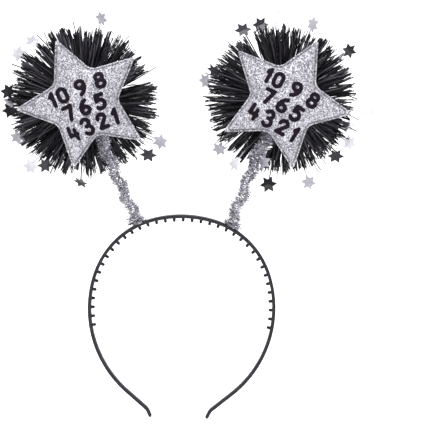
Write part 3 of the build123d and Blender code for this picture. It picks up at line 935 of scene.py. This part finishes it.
def placed(verts, name):
    """Points of a star in the frame, with its hand-cut tips drawn off a regular star."""
    _, centre = spring_line(name)
    matrix = np.array(star_place(name, centre))
    points = verts @ matrix[:3, :3].T + matrix[:3, 3]
    aside, rise = points[:, 0] - centre.x, points[:, 2] - centre.z
    reach = np.clip((np.hypot(aside, rise) / MM - TIP_SHIFT_FROM) / (STAR_R - TIP_SHIFT_FROM), 0, 1)
    for direction, shift_x, shift_z in TIP_SHIFTS[name]:
        off = np.arctan2(rise, aside) - radians(direction)
        near = np.clip(np.cos(off), 0, 1) ** 6 * reach
        points[:, 0] += shift_x * MM * near
        points[:, 2] += shift_z * MM * near
    return points


def numeral_strokes():
    """Closed flat strokes of every numeral, in mm in the star's plane."""
    parts = []
    for row, (text, row_wide, rise) in enumerate(zip(NUMBER_ROWS, ROW_WIDE, ROW_RISE)):
        wides = [NARROW_ONE if letter == "1" else DIGIT_WIDE for letter in text.replace(" ", "")]
        solid = sum(wides) + STROKE * len(wides)
        space = (row_wide - solid - text.count("10") * DIGIT_GAP) / text.count(" ")
        left = -row_wide / 2 + STROKE / 2
        for place, letter in enumerate(text):
            if letter == " ":
                left += space - DIGIT_GAP
                continue
            wide = NARROW_ONE if letter == "1" else DIGIT_WIDE
            jitter = sin(place * 2.3 + row * 1.7)
            for stroke in NUMERALS[letter]:
                spots = np.array([((u - 0.5) * wide, (v - 0.5) * DIGIT_TALL) for u, v in stroke])
                lean = radians(4.5 * jitter)
                turned = np.c_[spots[:, 0] * cos(lean) - spots[:, 1] * sin(lean),
                               spots[:, 0] * sin(lean) + spots[:, 1] * cos(lean)]
                turned += (left + wide / 2, rise + 0.45 * jitter)
                parts.append(stroke_mesh(turned))
            left += wide + STROKE + DIGIT_GAP
    return join_meshes(parts)


def stroke_mesh(spots):
    """One round-ended stroke through two points, or along the arc of three."""
    if len(spots) == 2:
        line = np.linspace(spots[0], spots[1], 14)
    else:
        line = arc_through(*spots)
    ends = np.linspace(0, 1, 6)[:-1]
    heading_in = unit(line[0] - line[1])
    heading_out = unit(line[-1] - line[-2])
    half = STROKE / 2
    lead_in = [line[0] + heading_in * half * cos(share * pi / 2) for share in ends]
    lead_out = [line[-1] + heading_out * half * cos(share * pi / 2) for share in ends][::-1]
    path = np.concatenate([lead_in, line, lead_out])
    radii = np.concatenate([half * np.sin(ends * pi / 2), np.full(len(line), half),
                            (half * np.sin(ends * pi / 2))[::-1]])
    radii = np.maximum(radii, 0.05)
    return tube_mesh(np.c_[path, np.zeros(len(path))], radii, sides=16)


def arc_through(first, middle, last):
    """Points along the circle through three points."""
    (ax, ay), (bx, by), (cx, cy) = first, middle, last
    d = 2 * (ax * (by - cy) + bx * (cy - ay) + cx * (ay - by))
    ux = ((ax**2 + ay**2) * (by - cy) + (bx**2 + by**2) * (cy - ay) + (cx**2 + cy**2) * (ay - by)) / d
    uy = ((ax**2 + ay**2) * (cx - bx) + (bx**2 + by**2) * (ax - cx) + (cx**2 + cy**2) * (bx - ax)) / d
    radius = sqrt((ax - ux) ** 2 + (ay - uy) ** 2)
    start, end = atan2(ay - uy, ax - ux), atan2(cy - uy, cx - ux)
    through = atan2(by - uy, bx - ux)
    sweep = (end - start) % (2 * pi)
    if (through - start) % (2 * pi) > sweep:
        sweep -= 2 * pi
    turns = start + np.linspace(0, 1, 22) * sweep
    return np.c_[ux + radius * np.cos(turns), uy + radius * np.sin(turns)]


def draped_numerals(pad_tree):
    """Flocked numerals laid on the pad: even flat print, lifted onto the cover point by point."""
    verts, faces = numeral_strokes()
    verts[:, 2] = np.clip(verts[:, 2] * 1.2, -0.5, FLOCK)
    verts, faces = remeshed(verts, faces, 0.3)
    lifted = verts.copy()
    for number, (x, y, height) in enumerate(verts):
        hit = pad_tree.ray_cast(Vector((x, y, 30.0)), Vector((0, 0, -1)))
        surface = hit[0].z if hit[0] is not None else RIM_THICK
        lifted[number, 2] = surface + height
    return lifted, faces


def smooth_pass(verts, faces, rounds):
    """Average each vertex with its neighbours along edges."""
    edges = set()
    for face in faces:
        for here, there in zip(face, face[1:] + face[:1]):
            edges.add((min(here, there), max(here, there)))
    edges = np.array(list(edges))
    for _ in range(rounds):
        total = np.zeros_like(verts)
        count = np.zeros(len(verts))
        np.add.at(total, edges[:, 0], verts[edges[:, 1]])
        np.add.at(total, edges[:, 1], verts[edges[:, 0]])
        np.add.at(count, edges[:, 0], 1)
        np.add.at(count, edges[:, 1], 1)
        verts = 0.5 * verts + 0.5 * total / count[:, None]
    return verts


def build_stars():
    pad_verts, pad_faces = puffed_pad()
    pad_verts = smooth_pass(pad_verts, pad_faces, 2)
    rim_verts, rim_faces, seam_painted_shade = rim()
    cover_verts, cover_faces = join_meshes([(pad_verts, pad_faces), (rim_verts, rim_faces)])
    # painted shade: the pad's cover darkens where it dips low towards the seam
    pad_painted_shade = np.clip(1 - pad_verts[:, 2] / 1.2, 0, 1) * 0.6
    cover_painted_shade = np.concatenate([pad_painted_shade, seam_painted_shade])
    tree = BVHTree.FromPolygons(pad_verts.tolist(), pad_faces)
    print_verts, print_faces = draped_numerals(tree)
    print_verts = smooth_pass(print_verts, print_faces, 1)
    back_verts, back_faces = prism(star_loop(0.15), -0.25, 0.0)
    for name in SIDES:
        cover = make_object(
            f"{name}_star_cover", placed(cover_verts, name), cover_faces, GLITTER, cover_painted_shade, smooth=True
        )
        numerals = make_object(
            f"{name}_numerals", placed(print_verts, name), print_faces, FLOCKED, smooth=True
        )
        back = make_object(f"{name}_star_backing", placed(back_verts, name), back_faces, FELT)
        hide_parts(f"{name}_star_front", f"{name}_star_foam")
        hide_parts(f"{name}_star_numerals")
        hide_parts(f"{name}_star_back")
        for obj, slot_name in ((cover, "star_glitter"), (numerals, "numeral_flock"), (back, "star_backing")):
            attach(obj, f"{name}_topper")


# ---- build everything ----

build_headband()
build_stars()
for side_name in SIDES:
    _, topper_centre = spring_line(side_name)
    build_spring(side_name)
    build_pompom(side_name, topper_centre)
    build_foil_stars(side_name, topper_centre)

for node_name, material in (("base_glue", GLUE), ("hub_glue", GLUE), ("garland_core", STEEL)):
    for side_name in SIDES:
        carried = frame["nodes"][f"{side_name}_{node_name}"]
        carried.data.materials.clear()
        carried.data.materials.append(material)


# ---- camera, light and floor ----

CAMERA_DISTANCE = 1.2
CAMERA_ELEVATION = radians(4.5)
CAMERA_ROLL = radians(1.79)
VIEW_CENTRE = Vector((0.02026, 0.0, 0.00249))
VIEW_WIDE = 0.28563
FLOOR_DROP = 0.07
SENSOR_MM = 36.0
# lights: place, size, power
LIGHTS = {
    "key": ((-0.5, -0.9, 0.9), 0.6, 10.5),
    "fill": ((0.9, -0.8, 0.3), 0.9, 4),
    "top": ((0.0, 0.1, 1.2), 0.8, 10),
}
# floor and wall, joined by a round cove
FLOOR_FRONT_Y, FLOOR_HALF_WIDE = -3.5, 6.0
COVE_Y, COVE_R, COVE_STEPS = 2.2, 0.8, 12
WALL_TALL = 5.2
WORLD_STRENGTH = 0.42


def build_camera():
    data = bpy.data.cameras.new("camera")
    data.sensor_width = SENSOR_MM
    data.lens = SENSOR_MM * CAMERA_DISTANCE / VIEW_WIDE
    camera = bpy.data.objects.new("camera", data)
    offset = Vector((0, -cos(CAMERA_ELEVATION), sin(CAMERA_ELEVATION))) * CAMERA_DISTANCE
    look = (-offset).to_track_quat("-Z", "Y").to_matrix().to_4x4()
    roll = Matrix.Rotation(CAMERA_ROLL, 4, "Z")
    camera.matrix_world = Matrix.Translation(VIEW_CENTRE + offset) @ look @ roll
    bpy.context.scene.collection.objects.link(camera)
    bpy.context.scene.camera = camera


def area_light(name, place, size, power):
    """Round soft light aimed at the origin."""
    data = bpy.data.lights.new(name, "AREA")
    data.shape = "DISK"
    data.size = size
    data.energy = power
    light = bpy.data.objects.new(name, data)
    aim = (-Vector(place)).to_track_quat("-Z", "Y").to_matrix().to_4x4()
    light.matrix_world = Matrix.Translation(Vector(place)) @ aim
    bpy.context.scene.collection.objects.link(light)


def build_studio():
    world = bpy.data.worlds.new("studio")
    world.use_nodes = True
    background = world.node_tree.nodes["Background"]
    background.inputs["Color"].default_value = (0.98, 0.98, 1.0, 1)
    background.inputs["Strength"].default_value = WORLD_STRENGTH
    bpy.context.scene.world = world
    bpy.context.scene.view_settings.view_transform = "Standard"
    for name, (place, size, power) in LIGHTS.items():
        area_light(name, place, size, power)
    profile = [(FLOOR_FRONT_Y, 0.0), (COVE_Y, 0.0)]
    for turn in np.linspace(0, pi / 2, COVE_STEPS + 1)[1:]:
        profile.append((COVE_Y + COVE_R * sin(turn), COVE_R * (1 - cos(turn))))
    profile.append((COVE_Y + COVE_R, WALL_TALL))
    floor_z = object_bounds()[0][2] - FLOOR_DROP
    verts, faces = [], []
    for y, z in profile:
        verts += [(-FLOOR_HALF_WIDE, y, z + floor_z), (FLOOR_HALF_WIDE, y, z + floor_z)]
    for step in range(len(profile) - 1):
        faces.append([2 * step, 2 * step + 1, 2 * step + 3, 2 * step + 2])
    floor = make_object("studio_floor", np.array(verts), faces, studio_paper(), smooth=True)


build_camera()
build_studio()
